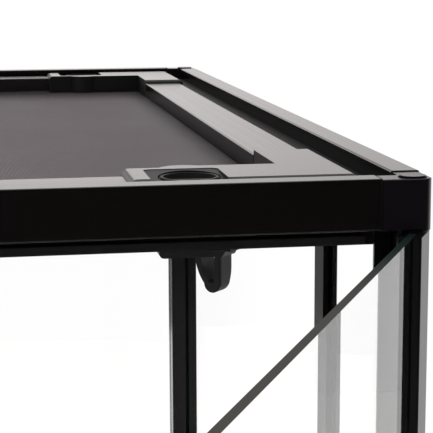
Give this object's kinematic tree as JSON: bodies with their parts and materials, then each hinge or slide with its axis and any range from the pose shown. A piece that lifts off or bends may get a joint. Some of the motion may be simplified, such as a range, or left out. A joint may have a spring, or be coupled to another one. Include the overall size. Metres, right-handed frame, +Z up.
{
  "type": "reptile terrarium",
  "caption": "Front-opening glass reptile terrarium: black frame, two swing glass doors, slotted vent rail and a lift-off screen cover held by quarter-turn hook locks.",
  "frame": {"origin": "on the floor, at the middle of the underside of the front right foot", "axes": "+Z up, +X to the right seen from the doors, -Y towards the front, so the doors open towards -Y"},
  "size_m": [0.9141, 1.0054, 0.6103],
  "materials": {
    "frame": "satin powder coat",
    "corner_plastic": "gloss moulded",
    "glass": "polished",
    "steel": "zinc plated",
    "screen": "matt black mesh",
    "rubber": "matt",
    "cover_plastic": "satin moulded",
    "lock_plastic": "gloss moulded",
    "door_plastic": "satin extruded"
  },
  "bodies": {
    "frame": {"top_rail_front": "frame", "top_rail_rear": "frame", "top_rail_left": "frame", "top_rail_right": "frame", "bottom_rail_front": "frame", "bottom_rail_rear": "frame", "bottom_rail_left": "frame", "bottom_rail_right": "frame", "post_front_left": "frame", "post_front_right": "frame", "post_rear_left": "frame", "post_rear_right": "frame", "top_corner_front_left": "corner_plastic", "top_corner_front_right": "corner_plastic", "top_corner_rear_left": "corner_plastic", "top_corner_rear_right": "corner_plastic", "bottom_corners": "corner_plastic", "corner_plugs": "corner_plastic", "corner_screws": "steel", "feet": "rubber", "floor_glass": "glass", "rear_glass": "glass", "left_glass_front": "glass", "left_glass_rear": "glass", "right_glass_front": "glass", "right_glass_rear": "glass", "left_mullion": "door_plastic", "right_mullion": "door_plastic", "lower_front_glass": "glass", "vent_rail": "frame", "door_stop_seals": "rubber", "door_pivot_pins": "steel"},
    "left_door": {"left_door_glass": "glass", "left_door_stile": "door_plastic", "left_door_strip": "rubber", "left_door_handle": "door_plastic"},
    "right_door": {"right_door_glass": "glass", "right_door_stile": "door_plastic", "right_door_strip": "rubber", "right_door_handle": "door_plastic"},
    "screen_cover": {"cover_bar_front": "cover_plastic", "cover_bar_rear": "cover_plastic", "cover_bar_left": "cover_plastic", "cover_bar_right": "cover_plastic", "cover_corner_front_left": "cover_plastic", "cover_corner_front_right": "cover_plastic", "cover_corner_rear_left": "cover_plastic", "cover_corner_rear_right": "cover_plastic", "cover_screen": "screen", "screen_spline": "rubber"},
    "lock_front_left": {"lock_knob_front_left": "lock_plastic", "lock_hook_front_left": "lock_plastic"},
    "lock_front_right": {"lock_knob_front_right": "lock_plastic", "lock_hook_front_right": "lock_plastic"},
    "lock_rear_left": {"lock_knob_rear_left": "lock_plastic", "lock_hook_rear_left": "lock_plastic"},
    "lock_rear_right": {"lock_knob_rear_right": "lock_plastic", "lock_hook_rear_right": "lock_plastic"}
  },
  "joints": [
    {"name": "right_door_swing", "type": "hinge", "parent": "frame", "child": "right_door", "pos_m": [0.00325, -0.00325, 0.367], "axis": [0, 0, 1], "range_deg": [-63, 47]},
    {"name": "left_door_swing", "type": "hinge", "parent": "frame", "child": "left_door", "pos_m": [-0.89675, -0.00325, 0.367], "axis": [0, 0, -1], "range_deg": [0, 110]},
    {"name": "cover_lift", "type": "slide", "parent": "frame", "child": "screen_cover", "axis": [0, 0, 1], "range_m": [0, 0.2]},
    {"name": "lock_front_left_turn", "type": "hinge", "parent": "screen_cover", "child": "lock_front_left", "pos_m": [-0.81495, 0.02725, 0.6], "axis": [0, 0, -1], "range_deg": [-90, 0]},
    {"name": "lock_front_right_turn", "type": "hinge", "parent": "screen_cover", "child": "lock_front_right", "pos_m": [-0.07855, 0.02725, 0.6], "axis": [0, 0, 1], "range_deg": [-90, 0]},
    {"name": "lock_rear_left_turn", "type": "hinge", "parent": "screen_cover", "child": "lock_rear_left", "pos_m": [-0.81495, 0.56225, 0.6], "axis": [0, 0, 1], "range_deg": [-90, 0]},
    {"name": "lock_rear_right_turn", "type": "hinge", "parent": "screen_cover", "child": "lock_rear_right", "pos_m": [-0.07855, 0.56225, 0.6], "axis": [0, 0, -1], "range_deg": [-90, 0]}
  ]
}
